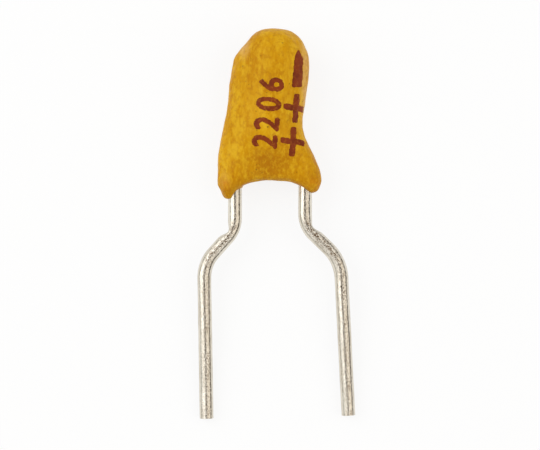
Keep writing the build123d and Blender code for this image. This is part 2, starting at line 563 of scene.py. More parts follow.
@dataclass(frozen=True)
class DippedResin(Finish):
    """Golden epoxy that was dipped and cured: mottled, flecked, a little pitted, with a satin skin.

    Attributes:
        golden: The resin over most of the bead.
        deep: Its darker clouds.
        light: Its lighter clouds, its flecks and its sand, and the painted sheen highlights on its crown and
            upper face.
        brown_and_shade: The brown of its dark flecks, and the painted shade over the arch and on the
            undersides of the feet.
        rim_highlight: The painted highlight: the pale sheen near its sides and on its upper left shoulder,
            where the soft lights reflect.
        ember: The orange at the tips of the feet.
        pit_shade: The painted shade in the hollows of the pits.
        run: How close its clouds and flecks lie up the bead, next to across it, as the resin ran.
        arch: Half the size of the painted shade over the arch, where the resin turns away towards the thin
            web between the leads; it is partly the deeper tone of the thin resin there.
        arch_at: Where it lies, from the middle of the coat across and out, and from the feet up.
        foot: Half the size of the painted shade on the underside of each foot.
        foot_at: Where it lies, in from the side of the coat and up from the feet.
        foot_strength: How strongly it shows.
        patch_depth: Half the depth of the patches of tone and painted light.
        patch_lift: How far towards the marked face they lie.
        flecks: Its light flecks.
        shade: Its dark flecks.
        sand: Its finest light flecks.
        pits: Its pits.
        rough: Its roughness, in the hollows of the skin and on its tooth.
        swell_depth: Depth of its skin's unevenness, in millimetres.
        pit_depth: Depth of the pits, as a share of that.
        gloss: The clear skin over its deep and its golden clouds.
    """

    name: str = "dipped_resin"
    golden: Colour = paint(216, 158, 6)
    deep: Colour = paint(198, 136, 4)
    light: Colour = paint(230, 182, 34)
    brown_and_shade: Colour = paint(180, 114, 8)
    rim_highlight: Colour = paint(232, 186, 112)
    ember: Colour = paint(206, 120, 6)
    pit_shade: Colour = paint(122, 84, 22)
    run: float = 0.36
    arch: Point = (1.35, 1.15, 2.2)
    arch_at: Point = (0.05, 1.05, 1.0)
    foot: Point = (0.95, 0.75, 2.4)
    foot_at: Pair = (0.55, 0.10)
    foot_strength: float = 0.6
    patch_depth: float = 2.6
    patch_lift: float = 0.6
    flecks: Flecks = Flecks(8.0, 0.30, 0.14, 0.42)
    shade: Flecks = Flecks(5.5, 0.42, 0.16, 0.48)
    sand: Flecks = Flecks(14.0, 0.40, 0.16, 0.36)
    pits: Flecks = Flecks(9.0, 0.02, 0.04, 0.75)
    rough: Pair = (0.36, 0.52)
    swell_depth: float = 0.030
    pit_depth: float = 0.5
    gloss: Pair = (0.0, 0.05)

    def _tone_and_light_patches(self, low: Vector, high: Vector) -> list[ToneAndLightPatch]:
        """The patches, placed from the sides, the crown and the feet of the coat: clouds of the resin's own
        tone, painted highlights near its sides and on its crown, painted shade over the arch, and the orange
        of the feet.

        Args:
            low: The lowest corner of the coat's box, in millimetres.
            high: Its highest corner.

        Returns:
            The patches, from the first that is laid on to the last.
        """
        left, right, foot, crown = low.x, high.x, low.y, high.y
        middle = (left + right) / 2
        return [
            ToneAndLightPatch(0.60, self.deep, (middle + 0.28, crown - 1.30), (0.55, 1.15), 3.0),
            ToneAndLightPatch(0.50, self.deep, (middle - 0.70, crown - 0.90), (0.60, 1.00), 4.8),
            # painted highlights: pale sheen on the upper face and the crown, laid over lighter streaks of
            # the resin
            ToneAndLightPatch(0.55, self.light, (middle - 0.12, crown - 1.50), (0.34, 0.95), 4.8),
            ToneAndLightPatch(0.45, self.light, (middle + 0.80, crown - 1.30), (0.32, 0.80), 4.8),
            ToneAndLightPatch(0.50, self.light, (middle + 0.32, crown - 0.48), (0.30, 0.40), 10.0),
            # painted highlights: the pale rim down the right flank, where the right soft light reflects
            ToneAndLightPatch(0.95, self.rim_highlight, (right - 0.44, crown - 2.10), (0.40, 2.50), 2.4),
            ToneAndLightPatch(0.55, self.rim_highlight, (right - 0.50, crown - 1.00), (0.34, 0.85), 3.6),
            # painted shade over the arch
            ToneAndLightPatch(0.75, self.brown_and_shade, (middle - 0.26, foot + 1.05), (0.80, 0.95), 3.0),
            # painted highlights: the pale rims of the upper left shoulder and of the left foot
            ToneAndLightPatch(0.60, self.rim_highlight, (middle - 0.88, crown - 0.80), (0.30, 0.62), 3.6),
            ToneAndLightPatch(0.22, self.rim_highlight, (left + 0.25, foot + 0.50), (0.34, 0.60), 3.6),
            ToneAndLightPatch(0.70, self.ember, (left + 0.28, foot + 0.34), (0.28, 0.34), 4.0),
            ToneAndLightPatch(0.70, self.ember, (right - 0.24, foot + 0.40), (0.32, 0.36), 4.0),
        ]

    def make(self, effects: Effects) -> Material:
        """Builds the resin from layers of colour, each broken up by its own pattern: its own clouds and
        flecks, with painted shade over the arch, on the feet and in the pits, and painted highlights near
        its sides and on its crown.
        """
        material, bench, shader = self.start(
            IOR=1.52, Specular_IOR_Level=0.06, Sheen_Weight=0.12, Sheen_Roughness=0.15,
            Coat_Roughness=0.28, Coat_IOR=1.5,
        )
        place = bench.millimetres()
        runs = bench.millimetres((1.0, self.run, 1.0))
        low, high = (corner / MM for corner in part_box("resin_coat"))
        middle = (low + high) / 2

        broad = bench.mapped(bench.noise(runs, 0.9, 3.0, 0.6), 0.36, 0.66)
        colour = bench.blend(broad, self.deep, self.golden)
        clouds = bench.mapped(bench.noise(runs, 3.0, 4.0, 0.65), 0.46, 0.66)
        colour = bench.lay(colour, self.light, clouds, 0.70)

        # painted shade over the arch, where the resin turns away towards the thin web; partly the thin
        # resin's deeper tone
        arch_at = Vector((middle.x, low.y, middle.z)) + Vector(self.arch_at)
        arch = effects.spot(bench, place, arch_at, self.arch)
        arch = bench.times(arch, bench.mapped(bench.noise(place, 3.2, 3.0), 0.25, 0.6))
        colour = bench.blend(arch, colour, self.brown_and_shade)
        # painted shade on the underside of each foot
        inwards, upwards = self.foot_at
        for side in (low.x, high.x):
            foot_at = (side - math.copysign(inwards, side), low.y + upwards, middle.z)
            foot = effects.spot(bench, place, foot_at, self.foot)
            colour = bench.lay(colour, self.brown_and_shade, foot, self.foot_strength)
        # patches of the resin's own tone, painted highlights and painted shade
        for tone_and_light in self._tone_and_light_patches(low, high):
            tone_and_light_at, size = (*tone_and_light.middle, middle.z + self.patch_lift), (*tone_and_light.half, self.patch_depth)
            spot = effects.spot(bench, place, tone_and_light_at, size)
            ragged = bench.mapped(bench.noise(runs, tone_and_light.broken, 3.0), 0.30, 0.56)
            colour = bench.blend(bench.times(spot, bench.times(ragged, tone_and_light.strength)), colour, tone_and_light.tone)

        for flecks, at, tone in (
            (self.flecks, runs, self.light), (self.shade, place, self.brown_and_shade), (self.sand, runs, self.light)
        ):
            colour = bench.lay(colour, tone, effects.scatter(bench, at, flecks), flecks.strength)
        # the pits: dented, and painted darker as shade in their hollows
        pits = effects.scatter(bench, place, self.pits)
        colour = bench.lay(colour, self.pit_shade, pits, self.pits.strength)
        bench.join(colour, shader, "Base Color")

        grain = bench.group(effects.grain, Vector=place, Swell=3.2, Tooth=26.0, Tooth_Share=0.10)
        roughen(bench, shader, grain.outputs["Tooth"], self.rough)
        dented = bench.math("SUBTRACT", grain.outputs["Height"], bench.times(pits, self.pit_depth))
        bench.join(bench.bump(dented, self.swell_depth), shader, "Normal")
        bench.join(bench.mapped(broad, 0, 1, self.gloss), shader, "Coat Weight")
        return material


@dataclass(frozen=True)
class TinnedWire(Finish):
    """Bright tin on a drawn wire, with drawing lines, a darker speckled band along the middle of its top
    face, and scuffs from forming.

    Attributes:
        bright: Clean tin.
        dull: Tin in the drawing lines.
        stain: Dirt in the scuffs and specks, and the dark of the band along the middle.
        along: How close the drawing lines, the grain, and the band and scratches lie along the wire, next to
            across it.
        specks: Its specks of dirt.
        band_flecks: The flecks of the darker band along the middle of the top face.
        scratches: The dirt in the scuffs.
        least: How much of the band shows where it is weakest, and where it is strongest.
        band_centre: Middle of the band: along the wire, across it and up.
        band_size: Half its length, width and height.
        rough: Roughness of clean tin and of the drawing lines.
        scuff_rough: How much rougher the scuffs are.
        waver: Depth of the wire's slow unevenness, in millimetres.
        tooth: Depth of its grain.
        dug: Depth of the band and the scratches, as a share of that.
    """

    name: str = "tinned_wire"
    bright: Colour = paint(228, 221, 207)
    dull: Colour = paint(190, 178, 157)
    stain: Colour = paint(108, 80, 50)
    along: Point = (0.16, 0.40, 0.70)
    specks: Flecks = Flecks(17.0, 0.20, 0.10, 0.40)
    band_flecks: Flecks = Flecks(19.0, 0.48, 0.08, 0.85)
    scratches: Flecks = Flecks(19.0, 0.50, 0.12, 0.80)
    least: Pair = (0.35, 1.0)
    band_centre: Point = (0.0, 0.05, 0.25)
    band_size: Point = (1000.0, 0.19, 0.40)
    rough: Pair = (0.10, 0.20)
    scuff_rough: float = 0.16
    waver: float = 0.060
    tooth: float = 0.009
    dug: float = 0.6

    def make(self, effects: Effects) -> Material:
        """Builds the wire from the run attribute, whose X is the distance along the wire."""
        material, bench, shader = self.start(IOR=1.5, Metallic=1.0)
        run = bench.node("Attribute", attribute_name=FormedLead.RUN).outputs["Vector"]
        scuffed = bench.node("Attribute", attribute_name=FormedLead.SCUFFED).outputs["Fac"]
        drawn, slow, fine_run = (bench.stretched(run, (close, 1, 1)) for close in self.along)

        streaks = bench.mapped(bench.noise(drawn, 9.0, 4.0, 0.6), 0.40, 0.68)
        colour = bench.lay(self.bright, self.dull, streaks, 0.5)
        specks = effects.scatter(bench, slow, self.specks)
        colour = bench.lay(colour, self.stain, specks, self.specks.strength)
        # a darker speckled band along the middle of the top face, stronger on the scuffed runs
        handled = bench.mapped(scuffed, 0, FormedLead.handled, self.least)
        worse = bench.mapped(bench.mapped(bench.noise(slow, 1.3), 0.42, 0.62), 0, 1, self.least)
        face = effects.spot(bench, run, self.band_centre, self.band_size)
        band = bench.times(face, handled, worse, effects.scatter(bench, fine_run, self.band_flecks))
        colour = bench.lay(colour, self.stain, band, self.band_flecks.strength)
        worn = bench.times(effects.scatter(bench, fine_run, self.scratches), scuffed)
        colour = bench.lay(colour, self.stain, worn, self.scratches.strength)
        bench.join(colour, shader, "Base Color")

        rough = bench.mapped(streaks, 0, 1, self.rough)
        rough = bench.math("ADD", rough, bench.times(scuffed, self.scuff_rough))
        bench.join(rough, shader, "Roughness")
        grain = bench.group(effects.grain, Vector=slow, Swell=9.0, Tooth=24.0, Tooth_Share=0.55)
        height = grain.outputs["Height"]
        for mask in (band, worn):
            height = bench.math("SUBTRACT", height, bench.times(mask, self.dug))
        swing = bench.times(bench.noise(slow, 1.1, 1.0), self.waver / self.tooth)
        bench.join(bench.bump(bench.math("ADD", height, swing), self.tooth), shader, "Normal")
        return material


@dataclass(frozen=True)
class StampedInk(Finish):
    """Brown-red stamping ink: matt, a little starved in places and darker where it pooled.

    Attributes:
        ink: The ink where it lies evenly.
        pooled: The ink where it pooled.
        starved: The ink where the resin shows through.
        thin: The starved flecks.
        rough: Its roughness, in the hollows of its grain and on its tooth.
        depth: Depth of its grain, in millimetres.
    """

    name: str = "stamped_ink"
    ink: Colour = paint(136, 56, 16)
    pooled: Colour = paint(118, 44, 12)
    starved: Colour = paint(164, 92, 24)
    thin: Flecks = Flecks(9.0, 0.28, 0.14, 0.60)
    rough: Pair = (0.45, 0.62)
    depth: float = 0.012

    def make(self, effects: Effects) -> Material:
        """Builds the ink from a pooled and a starved pattern."""
        material, bench, shader = self.start(IOR=1.45, Specular_IOR_Level=0.15)
        place = bench.millimetres()
        pools = bench.mapped(bench.noise(place, 3.0, 3.0), 0.4, 0.65)
        colour = bench.blend(pools, self.ink, self.pooled)
        thin = effects.scatter(bench, place, self.thin)
        colour = bench.lay(colour, self.starved, thin, self.thin.strength)
        bench.join(colour, shader, "Base Color")
        grain = bench.group(effects.grain, Vector=place, Swell=5.0, Tooth=30.0, Tooth_Share=0.35)
        roughen(bench, shader, grain.outputs["Tooth"], self.rough)
        bench.join(bench.bump(grain.outputs["Height"], self.depth), shader, "Normal")
        return material


@dataclass(frozen=True)
class InnerStuff(Finish):
    """A grainy stuff inside the bead: one colour broken by specks of another, on a toothed surface.

    Attributes:
        main: Its colour.
        specks: The colour of its specks.
        metallic: 1 for a metal, 0 for none.
        rough: Its roughness, in the hollows of its grain and on its tooth.
        tooth: How close the tooth of its grain lies.
        depth: Depth of its grain, in millimetres.
    """

    main: Colour
    specks: Colour
    metallic: float
    rough: Pair
    tooth: float
    depth: float

    def make(self, effects: Effects) -> Material:
        """Builds the stuff from its specks and its grain."""
        material, bench, shader = self.start(Metallic=self.metallic)
        place = bench.millimetres()
        tooth = self.tooth
        specks = effects.scatter(bench, place, Flecks(tooth / 2, 0.40, 0.12, 1.0))
        bench.join(bench.blend(specks, self.main, self.specks), shader, "Base Color")
        grain = bench.group(effects.grain, Vector=place, Swell=tooth / 6, Tooth=tooth, Tooth_Share=0.5)
        roughen(bench, shader, grain.outputs["Tooth"], self.rough)
        bench.join(bench.bump(grain.outputs["Height"], self.depth), shader, "Normal")
        return material


# ---- formed leads ---------------------------------------------------------------------------------------


class Side(Enum):
    """Which of the two leads a piece belongs to."""

    NEGATIVE = "negative"
    POSITIVE = "positive"


@dataclass
class FormedLead:
    """A tinned wire, bent outwards and down again below the bead, and joined to the anode inside it.

    Attributes:
        side: Which lead it is.
        corners: X and Y of the corners of its middle line, from its inner end to its cut end.
        bends: Radius of the bend at each corner between.
        scuffs: Which run, counted from 0, the forming tool gripped.
        nicks: The dents that the tool's edge left.
        nick_edge: How near to the middle of a nick the wire takes its whole push.
        radius: Radius of the wire.
        sides: Faces round the wire.
        pace: Distance between rings of the mesh.
        arc_pace: The same along the bends.
        line_pace: Distance between the points of the middle line that the mesh is measured from.
        snip: Steps of the cut end: a slight lip, then a sunk face, each as how far in and how far out.
        tool_marks: Width and depth of the marks on the gripped run.
        drawn_waver: Width and depth of the waver of the drawn surface.
        grip: Where across the wire its scuffs are worst, and how far they reach, as shares of the radius.
        grip_fade: Where along the wire they begin to fade, and over how much they die, in runs.
        handled: How scuffed the wire is from the gripped run down to its end.
        RUN: Name of the note of each point's distance along the wire and its place round it.
        SCUFFED: Name of the note of how scuffed each point is.
    """

    side: Side
    corners: list[Pair]
    bends: list[float]
    scuffs: int
    nicks: list[Dent]
    nick_edge: float = 0.10
    radius: float = 0.25
    sides: int = 48
    pace: float = 0.11
    arc_pace: float = 0.07
    line_pace: float = 0.02
    snip: tuple[Pair, ...] = ((0.018, 0.010), (0.045, -0.014), (0.070, -0.004))
    tool_marks: Pair = (0.16, 0.010)
    drawn_waver: Pair = (0.9, 0.010)
    grip: Pair = (-0.15, 0.45)
    grip_fade: Pair = (0.25, 0.6)
    handled: float = 0.12

    RUN = "run"
    SCUFFED = "scuffed"

    @property
    def node(self) -> str:
        """The CAD node that this lead stands for."""
        return f"{self.side.value}_lead"

    @property
    def points(self) -> list[Vector]:
        """The corners of its middle line."""
        return [Vector((x, y, 0)) for x, y in self.corners]

    @property
    def ways(self) -> list[Vector]:
        """The way each run goes."""
        return [(b - a).normalized() for a, b in zip(self.points, self.points[1:])]

    def _bend(self, number: int) -> tuple[Vector, Vector, Vector, float]:
        """How one bend lies.

        Args:
            number: Which bend, counted from 0.

        Returns:
            Where it starts, its centre, the axis it turns about and its angle.
        """
        way, onward = self.ways[number : number + 2]
        radius, angle = self.bends[number], way.angle(onward)
        start = self.points[number + 1] - way * radius * math.tan(angle / 2)
        axis = way.cross(onward).normalized()
        return start, start + axis.cross(way) * radius, axis, angle

    def _push(self, way: Vector, length: float) -> None:
        """Extrudes the end face along a run in even paces."""
        paces = max(1, round(length / self.pace))
        for _ in range(paces):
            bpy.ops.mesh.extrude_region_move(TRANSFORM_OT_translate={"value": way * (length / paces)})

    def _turn(self, number: int) -> None:
        """Spins the end face round one bend of the middle line, counted from 0."""
        _, centre, axis, angle = self._bend(number)
        steps = max(3, round(angle * self.bends[number] / self.arc_pace))
        bpy.ops.mesh.spin(steps=steps, angle=-angle, center=centre, axis=axis, dupli=False)

    def draw(self) -> Piece:
        """Draws the wire: a round end face pushed along each run and spun round each bend."""
        points, ways = self.points, self.ways
        cuts = [b * math.tan(a.angle(c) / 2) for b, a, c in zip(self.bends, ways, ways[1:])]
        cuts = [0.0, *cuts, 0.0]
        let_go()
        bpy.ops.mesh.primitive_circle_add(
            vertices=self.sides,
            radius=self.radius,
            fill_type="NGON",
            location=points[0],
            rotation=ways[0].to_track_quat("Z", "Y").to_euler(),
        )
        wire = bpy.context.object
        wire.name = wire.data.name = f"{self.node}_wire"
        settle_here()
        open_mesh(wire)
        bpy.ops.mesh.select_mode(type="FACE")
        for number, way in enumerate(ways):
            length = (points[number + 1] - points[number]).length - cuts[number] - cuts[number + 1]
            self._push(way, length)
            if number < len(self.bends):
                self._turn(number)
        for inwards, outwards in self.snip:
            bpy.ops.mesh.inset(thickness=inwards, depth=outwards)
        bpy.ops.mesh.select_all(action="SELECT")
        bpy.ops.mesh.normals_make_consistent(inside=False)
        close_mesh()
        return wire

    def _line(self) -> np.ndarray:
        """Points close together along the middle line, bends included.

        Returns:
            A row for each point: its X and Y, the distance so far, and its run, counted from 0.
        """
        rows: list[tuple[float, float, float, float]] = []
        at, run = self.points[0], 0.0

        def lay(to: Vector, number: float) -> None:
            """Adds points up to the next place."""
            nonlocal at, run
            gap = (to - at).length
            steps = max(1, int(gap / self.line_pace))
            for step in range(steps):
                share = step / steps
                spot = at.lerp(to, share)
                rows.append((spot.x, spot.y, run + gap * share, number))
            at, run = to.copy(), run + gap

        for number, radius in enumerate(self.bends):
            start, centre, axis, angle = self._bend(number)
            lay(start, number)
            steps = max(6, int(angle * radius / self.line_pace))
            for step in range(1, steps + 1):
                arm = start - centre
                arm.rotate(Matrix.Rotation(angle * step / steps, 3, axis))
                lay(centre + arm, number + step / steps)
        lay(self.points[-1], len(self.bends))
        return np.array(rows)

    def mark_runs(self, wire: Piece) -> None:
        """Notes on every point of the wire how far along it lies, its place round it, and any scuffing.

        Args:
            wire: The wire, in the bead's own frame.
        """
        line = self._line()
        count = len(wire.data.vertices)
        flat = np.empty(count * 3, np.float32)
        wire.data.vertices.foreach_get("co", flat)
        spots = flat.reshape(-1, 3)
        nearest = np.array([np.argmin(((line[:, :2] - s[:2]) ** 2).sum(1)) for s in spots])
        ahead = np.clip(nearest + 1, 0, len(line) - 1)
        behind = np.clip(nearest - 1, 0, len(line) - 1)
        way = line[ahead, :2] - line[behind, :2]
        way /= np.linalg.norm(way, axis=1)[:, None]
        off = spots[:, :2] - line[nearest, :2]
        across = off[:, 0] * -way[:, 1] + off[:, 1] * way[:, 0]
        run = np.stack([line[nearest, 2], across, spots[:, 2]], axis=1)
        made = wire.data.attributes.new(self.RUN, "FLOAT_VECTOR", "POINT")
        made.data.foreach_set("vector", run.astype(np.float32).ravel())
        begin, die = self.grip_fade
        gripped = 1 - np.clip((np.abs(line[nearest, 3] - self.scuffs) - begin) / die, 0, 1)
        centre, reach = self.grip
        gripped *= np.exp(-(((across / self.radius - centre) / reach) ** 2))
        gripped = np.maximum(gripped, self.handled * (line[nearest, 3] > self.scuffs))
        worn = wire.data.attributes.new(self.SCUFFED, "FLOAT", "POINT")
        worn.data.foreach_set("value", gripped.astype(np.float32))
        group = wire.vertex_groups.new(name=self.SCUFFED)
        for number in range(count):
            group.add([number], float(gripped[number]), "REPLACE")

    def work(self, wire: Piece) -> None:
        """Roughens the gripped run, wavers the drawn surface, and dents it where the tool's edge bit."""
        ruffle(wire, "tool_marks", *self.tool_marks, only=self.SCUFFED)
        ruffle(wire, "drawn_waver", *self.drawn_waver)
        press(wire, self.nicks, self.nick_edge, Give.CRISP)

    def build(self, where: Matrix, finish: Material) -> Piece:
        """Makes the lead, dresses it and lays it in place.

        Args:
            where: The bead's own frame.
            finish: The wire's material.

        Returns:
            The finished wire.
        """
        wire = self.draw()
        self.mark_runs(wire)
        self.work(wire)
        hold(wire)
        bpy.ops.object.shade_smooth_by_angle(angle=SMOOTH_ANGLE)
        wire.data.materials.append(finish)
        settle(wire, where)
        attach(wire, "root")
        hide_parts(self.node)
        return wire


# ---- the dipped resin -----------------------------------------------------------------------------------


@dataclass
class DippedCoat:
    """The resin bead: the CAD coat with the swells, dimples and sagged edges of a dipped and cured skin.

    Attributes:
        weld: Points of the CAD coat nearer than this are one.
        voxel: Size of the cells that the skin is rebuilt from.
        soften: Smoothing passes over the new skin.
        swell: Width and depth of its broad swells.
        peel: Width and depth of its orange peel.
        exits: X and Y of the place where each wire leaves the resin, and the resin's slope there in degrees.
        exits_top: How far up the bead the skin near the wires is kept as it is.
        calm: How near to a wire's middle the skin stays unruffled, and where it is ruffled in full.
        core: X of the bead's core, and how far up it begins and ends. Walls that face it are inside.
        collar: Inner radius and thickness of the resin that climbs each wire.
        thumb: How near to the middle of a dent the skin takes its whole push.
        dents: Uneven places of the flanks, the feet and the arch.
    """

    weld: float = 0.002
    voxel: float = 0.038
    soften: int = 5
    swell: Pair = (1.1, 0.055)
    peel: Pair = (0.26, 0.018)
    exits: tuple[Point, ...] = ((-1.26, 0.11, 28.0), (1.26, 0.22, -27.0))
    exits_top: float = 1.2
    calm: Pair = (0.33, 0.55)
    core: Point = (0.1, 1.4, 5.0)
    collar: Pair = (0.255, 0.03)
    thumb: float = 0.22
    dents: tuple[Dent, ...] = (
        Dent((-0.93, 5.34, 0), (0.022, -0.014, 0), 0.34),
        Dent((-1.20, 4.98, 0), (-0.040, 0.014, 0), 0.36),
        Dent((-1.44, 4.45, 0), (0.030, 0, 0), 0.40),
        Dent((1.33, 4.75, 0), (0.060, 0, 0), 0.85),
        Dent((1.26, 3.40, 0), (0.050, 0, 0), 0.90),
        Dent((0.85, 5.50, 0), (0.040, 0.030, 0), 0.60),
        Dent((-1.54, -0.05, 0), (0.030, -0.125, 0), 0.30),
        Dent((-1.69, -0.06, 0), (0.062, 0.010, 0), 0.30),
        Dent((1.50, 1.80, 0), (0.030, 0, 0), 1.10),
        Dent((1.78, 0.55, 0), (0.028, 0, 0), 0.55),
        Dent((1.55, 0.08, 0), (-0.004, -0.036, 0), 0.34),
        Dent((0.00, 0.53, 0), (0, -0.048, 0), 1.10),
    )

    def _copy(self, where: Matrix) -> Piece:
        """A merged copy of the CAD coat, brought into the bead's own frame."""
        source = frame["nodes"]["resin_coat"]
        coat = bpy.data.objects.new("resin_bead", source.data.copy())
        bpy.context.scene.collection.objects.link(coat)
        coat.data.materials.clear()
        coat.data.transform(where.inverted())
        heal(coat, self.weld)
        return coat

    def _add_collars(self, coat: Piece) -> None:
        """Adds the ring of resin that has crept down each wire."""
        rings = []
        for x, y, slope in self.exits:
            let_go()
            bpy.ops.mesh.primitive_torus_add(
                location=(x, y, 0),
                rotation=(math.pi / 2, 0, math.radians(slope)),
                major_segments=40,
                minor_segments=12,
                major_radius=self.collar[0] + self.collar[1],
                minor_radius=self.collar[1],
            )
            ring = bpy.context.object
            settle_here()
            rings.append(ring)
        hold(coat, *rings)
        bpy.ops.object.join()

    def build(self, where: Matrix, finish: Material) -> Piece:
        """Makes the coat and dresses it, still in the bead's own frame.

        Args:
            where: The bead's own frame.
            finish: The resin's material.

        Returns:
            The coat, not yet laid in place, because the marking is stamped on it first.
        """
        coat = self._copy(where)
        self._add_collars(coat)
        finish_modifier(coat, "REMESH", mode="VOXEL", voxel_size=self.voxel, adaptivity=0.0)
        soothe(coat, self.soften)
        outside = self._outer_skin(coat)
        ruffle(coat, "swells", *self.swell, finer=1, only=outside)
        ruffle(coat, "orange_peel", *self.peel, only=outside)
        soothe(coat, 1)
        press(coat, self.dents, self.thumb, Give.SOFT)
        hold(coat)
        bpy.ops.object.shade_smooth()
        coat.data.materials.append(finish)
        return coat

    def _outer_skin(self, coat: Piece) -> str:
        """Marks the outside of the coat, away from the walls that touch the leads and the anode.

        Args:
            coat: The coat, in the bead's own frame.

        Returns:
            The name of the vertex group.
        """
        group = coat.vertex_groups.new(name="outer_skin")
        for vertex in coat.data.vertices:
            group.add([vertex.index], self._outsideness(vertex.co, vertex.normal), "REPLACE")
        return group.name

    def _outsideness(self, spot: Vector, normal: Vector) -> float:
        """1 on the outer skin, 0 near the wires' holes and on walls that face inwards."""
        near = min(math.hypot(spot.x - x, spot.z) for x, _, _ in self.exits)
        calm, ruffled = self.calm
        if spot.y < self.exits_top and near < ruffled:
            return max(0.0, min(1.0, (near - calm) / (ruffled - calm)))
        x, begin, end = self.core
        core = Vector((x, max(begin, min(end, spot.y)), 0.0))
        return 1.0 if (spot - core).dot(normal) > 0 else 0.0

    def lay(self, coat: Piece, where: Matrix) -> None:
        """Args:
            coat: The coat.
            where: The bead's own frame.
        """
        settle(coat, where)
        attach(coat, "root")
        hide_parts("resin_coat")


# ---- the stamped marking --------------------------------------------------------------------------------


@dataclass(frozen=True)
class Digit:
    """One stamped digit.

    Attributes:
        sign: What it is.
        x: Across the bead to its middle.
        y: Up the bead to its middle.
    """

    sign: str
    x: float
    y: float


@dataclass(frozen=True)
class Plus:
    """One stamped plus sign.

    Attributes:
        x: Across the bead to its middle.
        y: Up the bead to its middle.
        arms: How far its arms reach up, down, left and right.
    """

    x: float
    y: float
    arms: tuple[float, float, float, float]


